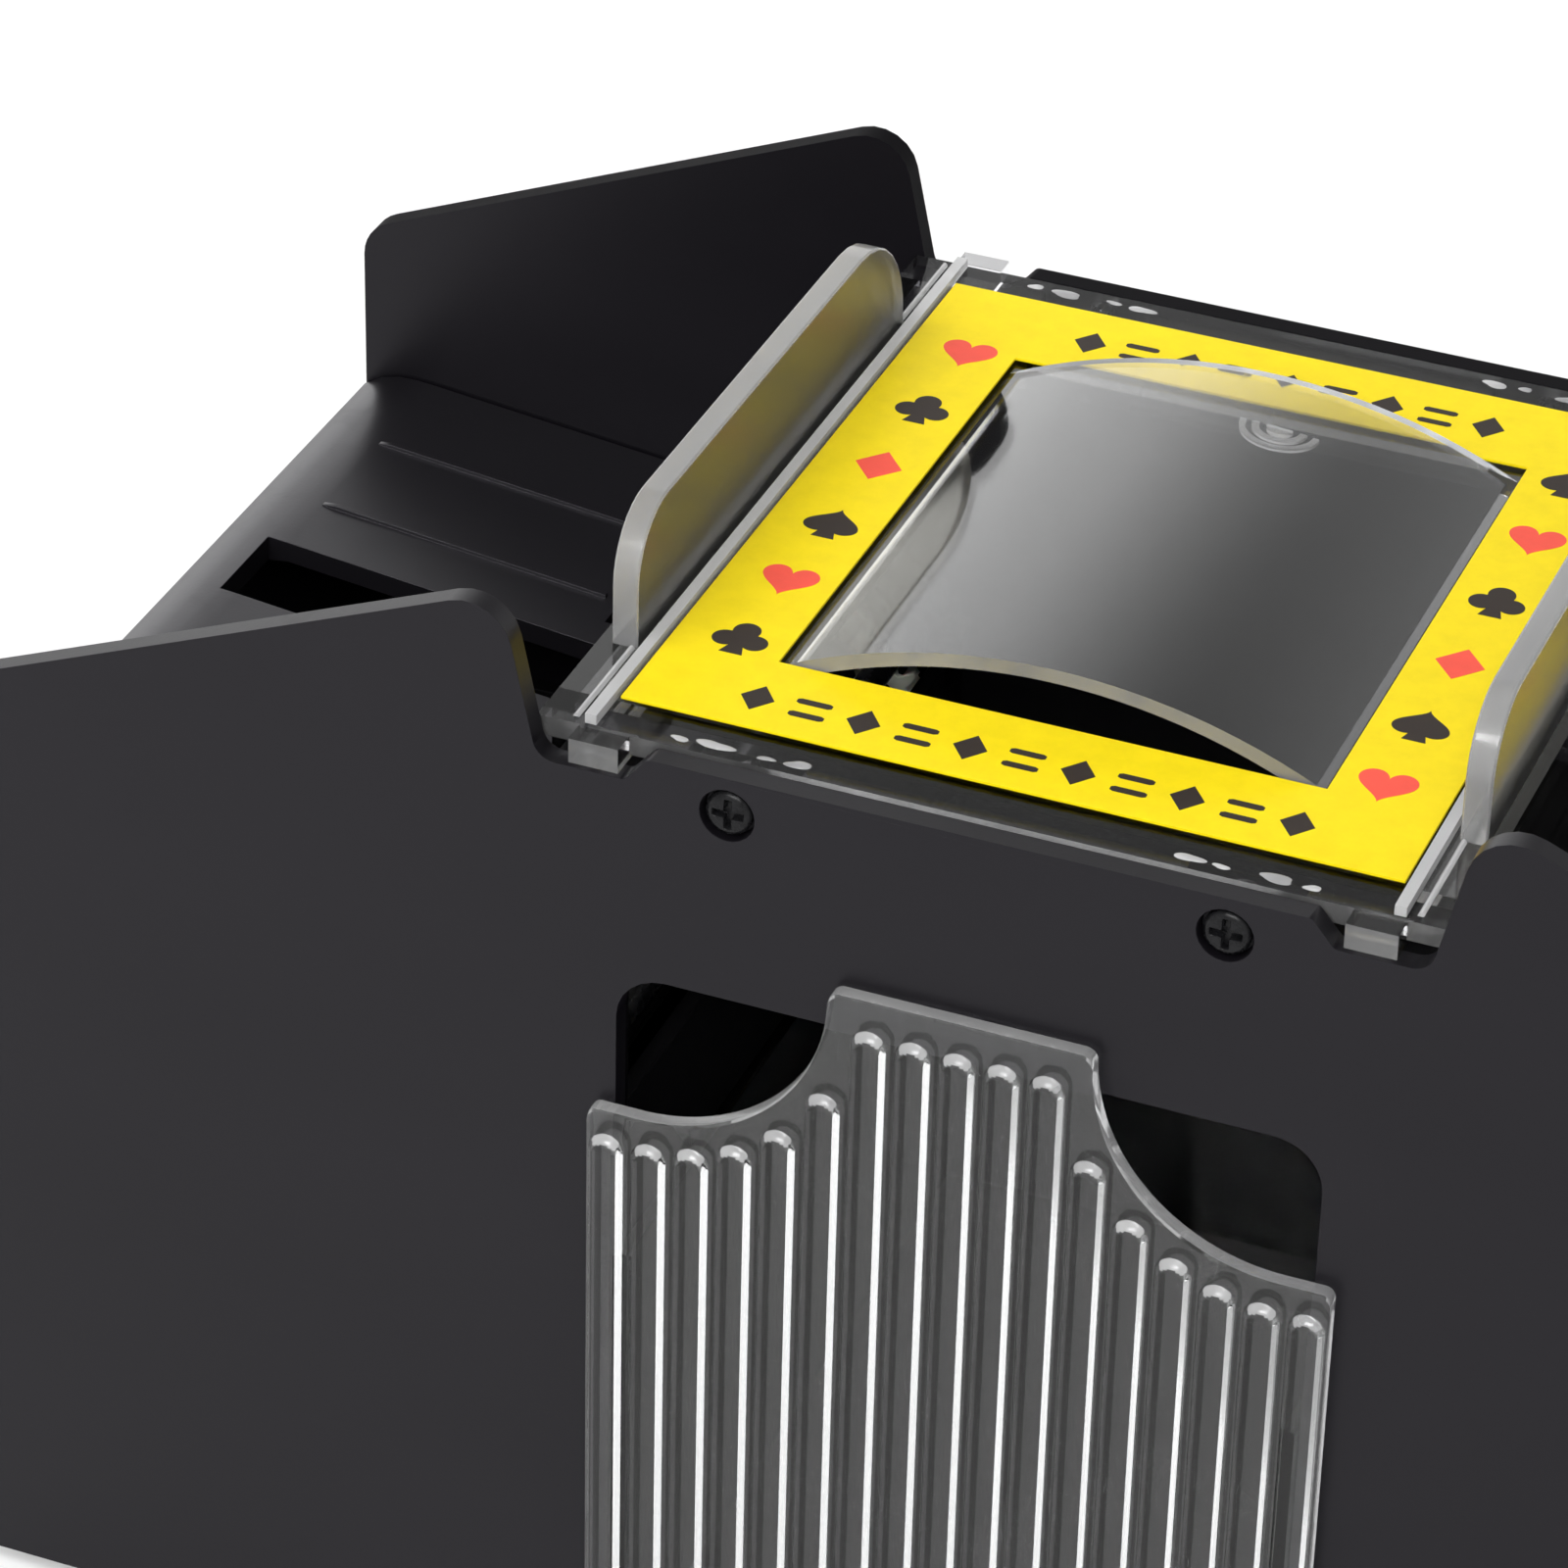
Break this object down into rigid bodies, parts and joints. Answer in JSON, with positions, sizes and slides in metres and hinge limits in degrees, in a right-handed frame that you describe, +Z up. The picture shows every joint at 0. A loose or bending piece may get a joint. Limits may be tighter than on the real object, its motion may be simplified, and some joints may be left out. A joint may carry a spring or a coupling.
{
  "type": "automatic card shuffler",
  "caption": "Battery card shuffler: sloping trays with geared feed rollers throw cards into a middle chute and a clear ribbed drawer, under an arched clear cover.",
  "frame": {"origin": "centre of the bounding box, on the table under the feet", "axes": "+X along the body towards the right tray, +Y towards the rear panel, +Z up; the drawer opens towards -Y"},
  "size_m": [0.2096, 0.1026, 0.1277],
  "materials": {
    "black_plastic": "satin",
    "clear_plastic": "clear, glossy",
    "printed_label": "printed film",
    "frame_plastic": "moulded, matte",
    "gear_plastic": "acetal",
    "rubber": "matte",
    "steel": "drawn",
    "black_steel": "black oxide",
    "motor_steel": "zinc plated"
  },
  "bodies": {
    "housing": {"front_panel": "black_plastic", "rear_panel": "black_plastic", "left_tray": "black_plastic", "right_tray": "black_plastic", "base_plate": "black_plastic", "left_bulkhead": "frame_plastic", "right_bulkhead": "frame_plastic", "front_frame": "frame_plastic", "rear_frame": "frame_plastic", "top_cover": "clear_plastic", "label": "printed_label", "switch_body": "frame_plastic", "battery_box": "frame_plastic", "battery_contact_front": "steel", "battery_contact_rear": "steel", "left_motor": "motor_steel", "left_motor_bracket": "frame_plastic", "right_motor": "motor_steel", "right_motor_bracket": "frame_plastic", "foot_1": "rubber", "foot_2": "rubber", "foot_3": "rubber", "foot_4": "rubber", "cover_screw_1": "black_steel", "cover_screw_2": "black_steel", "cover_screw_3": "black_steel", "cover_screw_4": "black_steel", "base_screw_1": "black_steel", "base_screw_2": "black_steel", "base_screw_3": "black_steel", "base_screw_4": "black_steel"},
    "drawer": {"drawer": "clear_plastic"},
    "power_button": {"power_button": "black_plastic"},
    "switch_plunger": {"switch_plunger": "gear_plastic"},
    "battery_door": {"battery_door": "black_plastic"},
    "left_feed_roller": {"left_feed_shaft": "steel", "left_feed_hub": "frame_plastic", "left_feed_tyre_front": "rubber", "left_feed_tyre_rear": "rubber", "left_feed_gear": "gear_plastic"},
    "left_exit_roller": {"left_exit_shaft": "steel", "left_exit_tyre": "rubber", "left_exit_pinion": "frame_plastic"},
    "left_idler": {"left_idler_gear": "gear_plastic"},
    "left_reduction": {"left_reduction_gear": "gear_plastic"},
    "left_motor_output": {"left_motor_pinion": "steel"},
    "right_feed_roller": {"right_feed_shaft": "steel", "right_feed_hub": "frame_plastic", "right_feed_tyre_front": "rubber", "right_feed_tyre_rear": "rubber", "right_feed_gear": "gear_plastic"},
    "right_exit_roller": {"right_exit_shaft": "steel", "right_exit_tyre": "rubber", "right_exit_pinion": "frame_plastic"},
    "right_idler": {"right_idler_gear": "gear_plastic"},
    "right_reduction": {"right_reduction_gear": "gear_plastic"},
    "right_motor_output": {"right_motor_pinion": "steel"}
  },
  "joints": [
    {"name": "drawer_slide", "type": "slide", "parent": "housing", "child": "drawer", "axis": [0, -1, 0], "range_m": [0, 0.09]},
    {"name": "button_press", "type": "slide", "parent": "housing", "child": "power_button", "axis": [0, 1, 0], "range_m": [0, 0.0025], "stiffness_N_per_m": 400},
    {"name": "plunger_press", "type": "slide", "parent": "housing", "child": "switch_plunger", "axis": [0, 1, 0], "range_m": [0, 0.0025]},
    {"name": "battery_door_slide", "type": "slide", "parent": "housing", "child": "battery_door", "axis": [-1, 0, 0], "range_m": [0, 0.06]},
    {"name": "left_feed_spin", "type": "hinge", "parent": "housing", "child": "left_feed_roller", "pos_m": [-0.0542, 0.0013, 0.0705], "axis": [0, 1, 0], "continuous": true},
    {"name": "left_exit_spin", "type": "hinge", "parent": "housing", "child": "left_exit_roller", "pos_m": [-0.0397, 0.0013, 0.0751], "axis": [0, 1, 0], "continuous": true},
    {"name": "left_idler_spin", "type": "hinge", "parent": "housing", "child": "left_idler", "pos_m": [-0.04227, 0.0423, 0.0671], "axis": [0, 1, 0], "continuous": true},
    {"name": "left_reduction_spin", "type": "hinge", "parent": "housing", "child": "left_reduction", "pos_m": [-0.06131, 0.0403, 0.06034], "axis": [0, 1, 0], "continuous": true},
    {"name": "left_motor_spin", "type": "hinge", "parent": "housing", "child": "left_motor_output", "pos_m": [-0.07005, 0.0383, 0.04992], "axis": [0, 1, 0], "continuous": true},
    {"name": "right_feed_spin", "type": "hinge", "parent": "housing", "child": "right_feed_roller", "pos_m": [0.0542, 0.0013, 0.0705], "axis": [0, 1, 0], "continuous": true},
    {"name": "right_exit_spin", "type": "hinge", "parent": "housing", "child": "right_exit_roller", "pos_m": [0.0397, 0.0013, 0.0751], "axis": [0, 1, 0], "continuous": true},
    {"name": "right_idler_spin", "type": "hinge", "parent": "housing", "child": "right_idler", "pos_m": [0.04227, 0.0423, 0.0671], "axis": [0, 1, 0], "continuous": true},
    {"name": "right_reduction_spin", "type": "hinge", "parent": "housing", "child": "right_reduction", "pos_m": [0.06131, 0.0403, 0.06034], "axis": [0, 1, 0], "continuous": true},
    {"name": "right_motor_spin", "type": "hinge", "parent": "housing", "child": "right_motor_output", "pos_m": [0.07005, 0.0383, 0.04992], "axis": [0, 1, 0], "continuous": true}
  ],
  "couplings": [
    {"joint": "plunger_press", "follows": "button_press", "ratio": 1},
    {"joint": "left_exit_spin", "follows": "left_feed_spin", "ratio": 1.9091},
    {"joint": "left_idler_spin", "follows": "left_feed_spin", "ratio": -2.1},
    {"joint": "left_reduction_spin", "follows": "left_feed_spin", "ratio": -2.1},
    {"joint": "left_motor_spin", "follows": "left_feed_spin", "ratio": 5.04},
    {"joint": "right_exit_spin", "follows": "right_feed_spin", "ratio": 1.9091},
    {"joint": "right_idler_spin", "follows": "right_feed_spin", "ratio": -2.1},
    {"joint": "right_reduction_spin", "follows": "right_feed_spin", "ratio": -2.1},
    {"joint": "right_motor_spin", "follows": "right_feed_spin", "ratio": 5.04}
  ]
}
